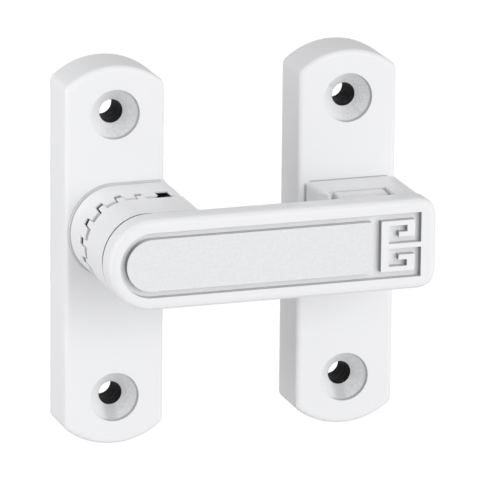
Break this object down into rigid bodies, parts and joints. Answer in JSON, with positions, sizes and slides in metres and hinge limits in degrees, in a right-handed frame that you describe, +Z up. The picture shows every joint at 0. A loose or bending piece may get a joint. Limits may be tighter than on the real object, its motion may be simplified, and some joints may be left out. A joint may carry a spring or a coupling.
{
  "type": "barn door latch",
  "caption": "Flip latch for a sliding door: a round-ended arm with a key-pattern end turns on a toothed hub on one plate and drops into the open catch on a second plate.",
  "frame": {"origin": "middle of the pivot plate's back face, halfway between its two screw holes, in the plane of the door", "axes": "+X from the pivot plate to the catch plate, +Y into the door, +Z up along the plates"},
  "size_m": [0.0784, 0.0428, 0.0886],
  "materials": {
    "white_powder_coat": "semi-gloss powder coat",
    "zinc_plated_steel": "bright zinc",
    "black_nylon": "matt"
  },
  "bodies": {
    "plates": {"pivot_plate": "white_powder_coat", "catch_plate": "white_powder_coat", "hub_block": "white_powder_coat", "boss_bush": "black_nylon", "hub_bush": "black_nylon", "return_spring": "zinc_plated_steel", "spring_seat": "zinc_plated_steel"},
    "arm": {"flip_arm": "white_powder_coat", "pivot_bolt": "zinc_plated_steel", "head_washer": "zinc_plated_steel"}
  },
  "joints": [
    {"name": "arm_flip", "type": "hinge", "parent": "plates", "child": "arm", "pos_m": [-0.00065, 0, 0.0064], "axis": [0, -1, 0], "range_deg": [0, 180]}
  ]
}
